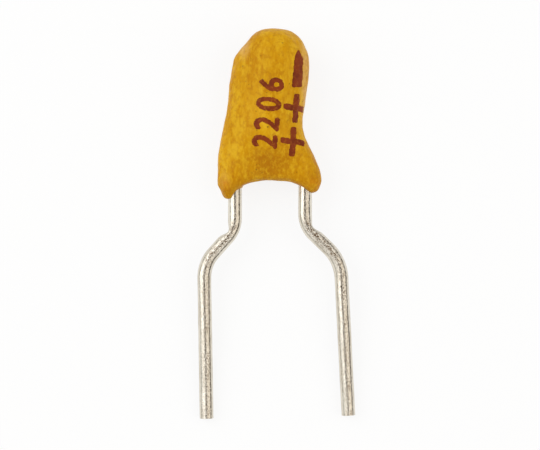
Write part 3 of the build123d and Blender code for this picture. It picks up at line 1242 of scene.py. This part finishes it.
@dataclass
class Marking:
    """The ink on the marked face: four plain digits, a pointed bar and two plus signs by the positive lead.

    Attributes:
        digits: The digits, from the first at the bottom to the last.
        lean: Degrees by which the column of digits leans from straight up the bead.
        digit_height: Height of a digit, across the bead.
        digit_width: Width of a digit, along the bead.
        digit_boldness: How far the outline of a digit is let out, which also rounds its corners.
        curves: Steps in each curve of a digit.
        boldness: The same letting out for a plus or the bar.
        pluses: The plus signs, from the upper one to the lower.
        plus_lean: Degrees by which their upright stroke leans to the right.
        plus_droop: Degrees by which their level stroke drops to the right.
        stroke: Width of a plus's strokes.
        bar: X and Y of the bar's corners, with its point at the crown's end.
        film: How far the ink reaches into the resin, and how far it stands proud of it.
        grid: Spacing of the points that follow the resin.
        edge_waver: Width and depth of the waver of the ink's edge.
        slab: Thickness of a sign while its edge is worked.
        top_slope: Faces less level than this are trimmed off a sign.
        edge_passes: Smoothing passes over the trimmed edge.
        over: Height over the lead plane from which the signs are pressed down.
        missed: Ink left less than this below that height has met no resin, and is dropped.
    """

    digits: tuple[Digit, ...] = (
        Digit("2", -0.19, 1.86),
        Digit("2", -0.12, 2.48),
        Digit("0", -0.05, 3.17),
        Digit("6", 0.05, 3.87),
    )
    lean: float = 6.7
    digit_height: float = 0.95
    digit_width: float = 0.54
    digit_boldness: float = 0.054
    curves: int = 8
    boldness: float = 0.042
    pluses: tuple[Plus, ...] = (
        Plus(0.925, 3.04, (0.48, 0.50, 0.42, 0.30)),
        Plus(0.815, 1.85, (0.50, 0.50, 0.42, 0.41)),
    )
    plus_lean: float = 5.5
    plus_droop: float = 10.0
    stroke: float = 0.165
    bar: tuple[Pair, ...] = (
        (0.80, 3.79), (1.12, 3.81), (1.165, 4.80), (1.03, 5.09), (1.0, 5.09), (0.895, 4.80),
    )
    film: Pair = (0.02, 0.007)
    grid: float = 0.022
    edge_waver: Pair = (0.16, 0.03)
    slab: float = 0.3
    top_slope: float = 0.35
    edge_passes: int = 8
    over: float = 2.6
    missed: float = 0.5

    def _digit(self, digit: Digit) -> Piece:
        """One digit as a flat face, lying on its side as it is stamped."""
        let_go()
        bpy.ops.object.text_add(location=(0, 0, 0))
        text = bpy.context.object
        text.data.body = digit.sign
        text.data.align_x, text.data.align_y = "CENTER", "CENTER"
        text.data.resolution_u = self.curves
        bpy.ops.object.convert(target="MESH")
        shape = bpy.context.object
        across, along = zip(*(vertex.co[:2] for vertex in shape.data.vertices))
        low, high = Vector((min(across), min(along), 0)), Vector((max(across), max(along), 0))
        size, middle = high - low, (low + high) / 2
        trim = 2 * self.digit_boldness
        wide, tall = (self.digit_width - trim) / size.x, (self.digit_height - trim) / size.y
        shape.data.transform(Matrix.Diagonal((wide, tall, 1, 1)) @ Matrix.Translation(-middle))
        turn = Matrix.Rotation(math.radians(90 - self.lean), 4, "Z")
        shape.data.transform(Matrix.Translation((digit.x, digit.y, 0)) @ turn)
        return shape

    def _bar(self) -> Piece:
        """The bar as a flat face: a filled circle whose points are moved to the bar's corners."""
        let_go()
        bpy.ops.mesh.primitive_circle_add(vertices=len(self.bar), fill_type="NGON", location=(0, 0, 0))
        shape = bpy.context.object
        for vertex, (x, y) in zip(shape.data.vertices, self.bar):
            vertex.co = (x, y, 0)
        return shape

    def _plus(self, plus: Plus) -> Piece:
        """A plus sign as a flat face: a small square whose four edges are drawn out into arms."""
        lean, droop = math.radians(self.plus_lean), math.radians(self.plus_droop)
        up = Vector((math.sin(lean), math.cos(lean), 0))
        right = Vector((math.cos(droop), -math.sin(droop), 0))
        middle = Vector((plus.x, plus.y, 0))
        let_go()
        bpy.ops.mesh.primitive_plane_add(size=self.stroke, location=middle)
        shape = bpy.context.object
        settle_here()
        open_mesh(shape)
        for way, reach in zip((up, -up, -right, right), plus.arms):
            edge = middle + way * self.stroke / 2
            pick(shape, lambda co: (co - edge).length < self.stroke / 4, Part.EDGE)
            arm = way * (reach - self.stroke / 2)
            bpy.ops.mesh.extrude_region_move(TRANSFORM_OT_translate={"value": arm})
        close_mesh()
        return shape

    def _soften(self, sign: Piece, boldness: float) -> None:
        """Rounds the corners of a flat sign, makes its edge uneven, and leaves it as a fine flat mesh.

        Args:
            sign: The flat sign.
            boldness: How far its outline is let out.
        """
        open_mesh(sign)
        bpy.ops.mesh.remove_doubles(threshold=MERGE)
        bpy.ops.mesh.select_all(action="SELECT")
        bpy.ops.mesh.extrude_region_move(TRANSFORM_OT_translate={"value": (0, 0, self.slab)})
        bpy.ops.mesh.select_all(action="SELECT")
        bpy.ops.mesh.normals_make_consistent(inside=False)
        close_mesh()
        finish_modifier(sign, "REMESH", mode="VOXEL", voxel_size=self.grid)
        finish_modifier(sign, "DISPLACE", strength=boldness, mid_level=0.0)
        ruffle(sign, "stamp_edge", *self.edge_waver)
        open_mesh(sign)
        bpy.ops.mesh.select_mode(type="FACE")
        bpy.ops.mesh.select_all(action="DESELECT")
        made = bmesh.from_edit_mesh(sign.data)
        for face in made.faces:
            face.select = face.normal.z < self.top_slope
        bmesh.update_edit_mesh(sign.data)
        bpy.ops.mesh.delete(type="FACE")
        bpy.ops.mesh.select_all(action="SELECT")
        bpy.ops.transform.resize(value=(1, 1, 0), center_override=(0, 0, 0))
        bpy.ops.transform.translate(value=(0, 0, self.over))
        close_mesh()
        soothe(sign, self.edge_passes)

    def _press(self, sign: Piece, coat: Piece) -> None:
        """Presses a flat sign down on the coat as a thin film of ink that follows it.

        Args:
            sign: The flat sign, over the coat.
            coat: The coat.
        """
        into, proud = self.film
        finish_modifier(
            sign, "SHRINKWRAP", target=coat, wrap_method="PROJECT", use_project_z=True,
            use_negative_direction=True, use_positive_direction=False, offset=proud,
        )
        open_mesh(sign)
        if pick(sign, lambda co: co.z > self.over - self.missed):
            bpy.ops.mesh.delete(type="VERT")
        close_mesh()
        finish_modifier(sign, "SOLIDIFY", thickness=into + proud, offset=-1.0)

    def stamp(self, coat: Piece, where: Matrix, finish: Material) -> Piece:
        """Stamps the marking on the coat and lays it in place.

        Args:
            coat: The finished coat, in the bead's own frame.
            where: The bead's own frame.
            finish: The ink's material.

        Returns:
            The ink.
        """
        signs = [(self._digit(digit), self.digit_boldness) for digit in self.digits]
        signs += [(self._plus(plus), self.boldness) for plus in self.pluses]
        signs.append((self._bar(), self.boldness))
        for sign, boldness in signs:
            self._soften(sign, boldness)
            self._press(sign, coat)
        hold(*(sign for sign, _ in signs))
        bpy.ops.object.join()
        ink = bpy.context.object
        ink.name = ink.data.name = "stamped_marking"
        hold(ink)
        bpy.ops.object.shade_smooth_by_angle(angle=SMOOTH_ANGLE)
        ink.data.materials.append(finish)
        settle(ink, where)
        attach(ink, "root")
        return ink


# ---- inside the bead ------------------------------------------------------------------------------------


@dataclass
class Innards:
    """The anode and its coverings, which keep the CAD's shapes and get their own finishes.

    Attributes:
        finishes: The finish of each inner CAD node.
    """

    finishes: dict[str, InnerStuff] = field(
        default_factory=lambda: {
            "anode_slug": InnerStuff(
                "sintered_tantalum", paint(98, 92, 86), paint(70, 66, 62), 0.6, (0.55, 0.8), 26, 0.02
            ),
            "anode_riser_wire": InnerStuff(
                "tantalum_wire", paint(140, 136, 132), paint(120, 116, 112), 1.0, (0.25, 0.4), 18, 0.004
            ),
            "riser_washer": InnerStuff(
                "washer_ptfe", paint(236, 236, 232), paint(222, 222, 216), 0.0, (0.35, 0.5), 12, 0.004
            ),
            "manganese_dioxide_layer": InnerStuff(
                "manganese_dioxide", paint(46, 38, 34), paint(30, 25, 23), 0.0, (0.6, 0.85), 22, 0.015
            ),
            "graphite_layer": InnerStuff(
                "graphite", paint(52, 52, 54), paint(36, 36, 38), 0.1, (0.4, 0.6), 18, 0.006
            ),
            "silver_layer": InnerStuff(
                "silver_paint", paint(196, 196, 192), paint(172, 172, 168), 0.8, (0.35, 0.55), 20, 0.008
            ),
            "cathode_solder": InnerStuff(
                "solder", paint(176, 178, 180), paint(150, 152, 156), 1.0, (0.2, 0.38), 8, 0.012
            ),
        }
    )

    def dress(self, effects: Effects) -> None:
        """Gives every inner CAD node its own finish.

        Args:
            effects: The shared node groups.
        """
        for name, finish in self.finishes.items():
            piece = frame["nodes"][name]
            made = finish.make(effects)
            if piece.material_slots:
                for slot in piece.material_slots:
                    slot.material = made
            else:
                piece.data.materials.append(made)
            LOG.info("%s: dressed in %s", name, finish.name)


# ---- table, lights and camera ---------------------------------------------------------------------------


@dataclass(frozen=True)
class Softbox:
    """A square soft light aimed at the bead.

    Attributes:
        place: Where it hangs, in millimetres over the table.
        size: Length of its side, in millimetres.
        brightness: How bright its face is, where 1 is white.
        tint: Colour of its light.
    """

    place: Point
    size: float
    brightness: float
    tint: Point


@dataclass(frozen=True)
class Screen:
    """Half a round screen that stands on the table.

    Attributes:
        name: Its name.
        side: -1 where it stands round the left half, 1 round the right.
        radius: Its radius, in millimetres.
        height: Its height, in millimetres.
        colour: The colour it shows in reflections.
    """

    name: str
    side: int
    radius: float
    height: float
    colour: Colour


@dataclass
class Studio:
    """The pale table, the soft lights and the camera that looks straight down on the marked face.

    Attributes:
        aim: X and Y of the point the camera looks at, in the bead's own frame.
        width: Width of the view at the lead plane, in millimetres.
        lens: Focal length, in millimetres.
        sensor: Width of the sensor, in millimetres.
        clip: Nearest and farthest that the camera sees, in metres.
        air: How brightly the room lights the object from all sides.
        white: The room and the table, as the camera sees them.
        table: Length of the table's side, in metres.
        table_paint: The table where light falls on it.
        shade: How much of the table's colour comes from that light, so that it takes a shadow.
        boxes: The soft lights.
        box_back: Colour of their backs.
        back_gap: How far off a back hangs, next to its light.
        hood: Height and radius of the card overhead, in millimetres.
        hood_colour: The colour it shows in reflections.
        screens: The screens round the table.
    """

    aim: Pair = (0.0, -1.115)
    width: float = 19.42
    lens: float = 135.0
    sensor: float = 36.0
    clip: Pair = (0.001, 4.0)
    air: float = 0.58
    white: Colour = (1.0, 1.0, 1.0, 1.0)
    table: float = 2.0
    table_paint: Colour = paint(250, 250, 249)
    shade: float = 0.16
    boxes: tuple[Softbox, ...] = (
        Softbox((-75.0, 25.0, 85.0), 100.0, 1.75, (1.0, 1.0, 1.0)),
        Softbox((75.0, -10.0, 85.0), 100.0, 1.12, (1.0, 0.94, 0.86)),
    )
    box_back: Colour = paint(30, 28, 26)
    back_gap: float = 1.02
    hood: Pair = (100.0, 25.0)
    hood_colour: Colour = paint(70, 54, 38)
    screens: tuple[Screen, ...] = (
        Screen("left_card", -1, 160.0, 44.0, paint(188, 192, 190)),
        Screen("right_card", 1, 160.0, 62.0, paint(52, 44, 36)),
    )

    def _seen(self, bench: Bench) -> Socket:
        """1 where a ray comes from the camera or from a mirror-like or clear surface, and 0 elsewhere."""
        path = bench.node("LightPath").outputs
        shiny = bench.math("MAXIMUM", path["Is Glossy Ray"], path["Is Transmission Ray"])
        return bench.math("MAXIMUM", path["Is Camera Ray"], shiny)

    def _air(self) -> None:
        """Fills the room with even light, white to the camera and in reflections."""
        world = bpy.data.worlds.new("studio_air")
        bpy.context.scene.world = world
        world.use_nodes = True
        bench = Bench(world.node_tree)
        strength = bench.mapped(self._seen(bench), 0, 1, (self.air, 1.0))
        air = bench.node("Background", {"Color": self.white, "Strength": strength})
        bench.node("OutputWorld", {"Surface": air.outputs[0]})

    def _table(self) -> None:
        """Lays the pale table top: white to the camera, but still darkened by the object's shadow."""
        let_go()
        bpy.ops.mesh.primitive_plane_add(size=self.table, location=(0, 0, 0))
        table = bpy.context.object
        table.name = "table_top"
        material, bench = bare_material("table_white")
        dull = bench.node("BsdfDiffuse", {"Color": self.table_paint})
        glow = bench.node("Emission", {"Color": self.white, "Strength": 1.0})
        share = bench.times(self._seen(bench), 1 - self.shade)
        both = bench.node("MixShader", {0: share, 1: dull.outputs[0], 2: glow.outputs[0]})
        bench.node("OutputMaterial", {"Surface": both.outputs[0]})
        table.data.materials.append(material)

    def _light(self, number: int, box: Softbox) -> None:
        """Hangs a soft light, with a black back that keeps the room out of its reflection.

        Args:
            number: Its number, for its name.
            box: The light.
        """
        place, size = Vector(box.place) * MM, box.size * MM
        lamp = bpy.data.lights.new(f"softbox_{number}", "AREA")
        lamp.shape, lamp.size, lamp.color = "SQUARE", size, box.tint
        lamp.energy = box.brightness * math.pi * size**2
        holder = bpy.data.objects.new(lamp.name, lamp)
        bpy.context.scene.collection.objects.link(holder)
        holder.location = place
        holder.rotation_euler = (-place).to_track_quat("-Z", "Y").to_euler()
        let_go()
        bpy.ops.mesh.primitive_plane_add(
            size=size, location=place * self.back_gap, rotation=holder.rotation_euler
        )
        back = bpy.context.object
        settle_here()
        self._reflected(back, f"softbox_back_{number}", self.box_back)

    def _reflected(self, card: Piece, name: str, colour: Colour) -> None:
        """Names a card and lets it show in reflections alone.

        Args:
            card: The card.
            name: Its name.
            colour: The colour it shows.
        """
        card.name = name
        material, bench = bare_material(name)
        tone = bench.node("Emission", {"Color": colour})
        bench.node("OutputMaterial", {"Surface": tone.outputs[0]})
        card.data.materials.append(material)
        card.visible_camera = card.visible_diffuse = card.visible_shadow = False
        card.visible_transmission = card.visible_volume_scatter = False

    def _hood(self, where: Matrix) -> None:
        """Hangs the card overhead, which draws the dark line down the middle of the bright wires."""
        height, radius = self.hood
        let_go()
        bpy.ops.mesh.primitive_circle_add(
            vertices=48, radius=radius, fill_type="NGON", location=(0, 0, height)
        )
        card = bpy.context.object
        settle(card, where)
        self._reflected(card, "overhead_card", self.hood_colour)

    def _screen(self, screen: Screen) -> None:
        """Stands a screen round half of the table, which draws a dark line along one edge of the wires."""
        let_go()
        bpy.ops.mesh.primitive_cylinder_add(
            vertices=64, radius=screen.radius * MM, depth=screen.height * MM, end_fill_type="NOTHING",
            location=(0, 0, screen.height * MM / 2),
        )
        card = bpy.context.object
        settle_here()
        open_mesh(card)
        pick(card, lambda co: co.x * screen.side < 0, Part.FACE)
        bpy.ops.mesh.delete(type="FACE")
        close_mesh()
        self._reflected(card, screen.name, screen.colour)

    def _camera(self, where: Matrix) -> None:
        """Hangs the camera square over the lead plane."""
        data = bpy.data.cameras.new("camera")
        camera = bpy.data.objects.new("camera", data)
        bpy.context.scene.collection.objects.link(camera)
        data.lens, data.sensor_width = self.lens, self.sensor
        data.clip_start, data.clip_end = self.clip
        away = self.width * self.lens / self.sensor
        place = where @ Vector((*self.aim, away))
        turn = where.to_quaternion().to_matrix().to_4x4()
        camera.matrix_world = Matrix.Translation(place) @ turn
        bpy.context.scene.camera = camera

    def build(self, where: Matrix) -> None:
        """Sets up the whole studio.

        Args:
            where: The bead's own frame.
        """
        bpy.context.scene.view_settings.view_transform = "Standard"
        self._air()
        self._table()
        self._hood(where)
        for screen in self.screens:
            self._screen(screen)
        for number, box in enumerate(self.boxes):
            self._light(number, box)
        self._camera(where)


# ---- the whole bead -------------------------------------------------------------------------------------


def leads() -> list[FormedLead]:
    """The two leads, with the corners of their middle lines."""
    negative = FormedLead(
        Side.NEGATIVE,
        corners=[(-0.8125, 4.6402), (-1.26, 0.3829), (-1.26, -1.27), (-2.37, -2.51), (-2.28, -8.06)],
        bends=[3.0, 1.05, 1.30],
        scuffs=2,
        nicks=[Dent((-1.623, -1.279, 0.0), (0.120, -0.072, 0.0), 0.34)],
    )
    positive = FormedLead(
        Side.POSITIVE,
        corners=[
            (0.3135, 2.0081), (0.2330, 1.2423), (1.26, 0.55), (1.26, -1.15), (2.54, -2.39), (2.82, -7.95)
        ],
        bends=[0.35, 0.35, 1.05, 1.60],
        scuffs=3,
        grip=(0.10, 0.65),
        nicks=[Dent((1.630, -1.127, 0.0), (-0.080, -0.050, 0.0), 0.34)],
    )
    return [negative, positive]


def report(piece: Piece) -> None:
    """Logs a finished piece and how many triangles it has."""
    piece.data.calc_loop_triangles()
    LOG.info("%s: %d triangles", piece.name, len(piece.data.loop_triangles))


def main() -> None:
    """Builds every piece in order and sets up the studio."""
    logging.basicConfig(level=logging.INFO, format="%(name)s %(message)s")
    where = BeadFrame().matrix()
    effects = Effects()
    coat_maker = DippedCoat()
    coat = coat_maker.build(where, DippedResin().make(effects))
    ink = Marking().stamp(coat, where, StampedInk().make(effects))
    coat_maker.lay(coat, where)
    report(coat)
    report(ink)
    wire_finish = TinnedWire().make(effects)
    for lead in leads():
        report(lead.build(where, wire_finish))
    Innards().dress(effects)
    Studio().build(where)
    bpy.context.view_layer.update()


if __name__ == "__main__":
    main()
